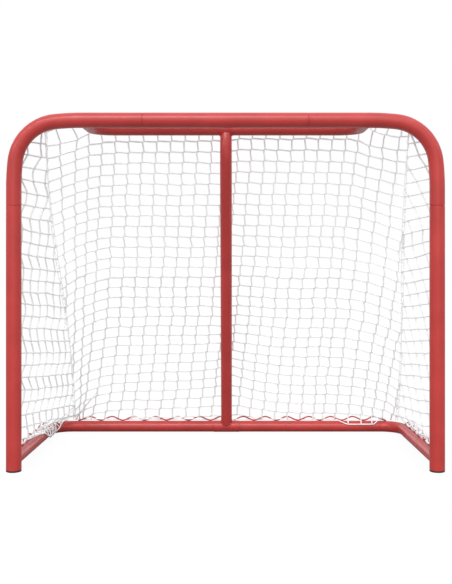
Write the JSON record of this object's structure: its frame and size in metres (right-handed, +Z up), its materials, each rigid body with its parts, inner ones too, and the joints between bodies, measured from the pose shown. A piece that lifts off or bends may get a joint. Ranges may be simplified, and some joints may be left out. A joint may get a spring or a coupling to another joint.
{
  "type": "street hockey goal",
  "caption": "Free-standing street hockey goal: round steel tube frame with a shallow top shelf, floor base, centre support and a laced white net, open at the front.",
  "frame": {"origin": "centre of the bounding box, at floor level", "axes": "+X to the goal's right seen from in front, +Y from the mouth to the back of the net, +Z up"},
  "size_m": [1.3706, 0.66, 1.12],
  "materials": {
    "frame_paint": "gloss powder coat",
    "hardware": "zinc plated",
    "cap_plastic": "moulded",
    "net_twine": "twisted cord"
  },
  "bodies": {
    "root": {"base_bolt_left": "hardware", "base_bolt_right": "hardware", "base_stub_left": "frame_paint", "base_stub_right": "frame_paint", "base_tube_left": "frame_paint", "base_tube_right": "frame_paint", "border_rope_crossbar": "net_twine", "border_rope_post_left": "net_twine", "border_rope_post_right": "net_twine", "border_rope_rear": "net_twine", "border_rope_side_left": "net_twine", "border_rope_side_right": "net_twine", "centre_support": "frame_paint", "corner_rod_left": "frame_paint", "corner_rod_right": "frame_paint", "corner_tube_left": "frame_paint", "corner_tube_right": "frame_paint", "crossbar": "frame_paint", "crossbar_joint_bolt_left": "hardware", "crossbar_joint_bolt_right": "hardware", "crossbar_rod": "frame_paint", "net_back_panel": "net_twine", "net_flank_left": "net_twine", "net_flank_right": "net_twine", "net_seam_left": "net_twine", "net_seam_right": "net_twine", "net_shoulder_left": "net_twine", "net_shoulder_right": "net_twine", "net_side_left": "net_twine", "net_side_right": "net_twine", "net_side_upper_left": "net_twine", "net_side_upper_right": "net_twine", "net_top_panel": "net_twine", "post_cap_left": "cap_plastic", "post_cap_right": "cap_plastic", "post_joint_bolt_left": "hardware", "post_joint_bolt_right": "hardware", "post_left": "frame_paint", "post_right": "frame_paint", "post_rod_left": "frame_paint", "post_rod_right": "frame_paint", "rear_rod_left": "frame_paint", "rear_rod_right": "frame_paint", "shelf_bolt_left": "hardware", "shelf_bolt_right": "hardware", "shelf_hoop": "frame_paint", "shelf_rod_left": "frame_paint", "shelf_rod_right": "frame_paint", "shelf_stub_left": "frame_paint", "shelf_stub_right": "frame_paint", "side_rod_left": "frame_paint", "side_rod_right": "frame_paint", "sleeve_bolt_left": "hardware", "sleeve_bolt_right": "hardware", "support_sleeve": "frame_paint"}
  },
  "joints": []
}
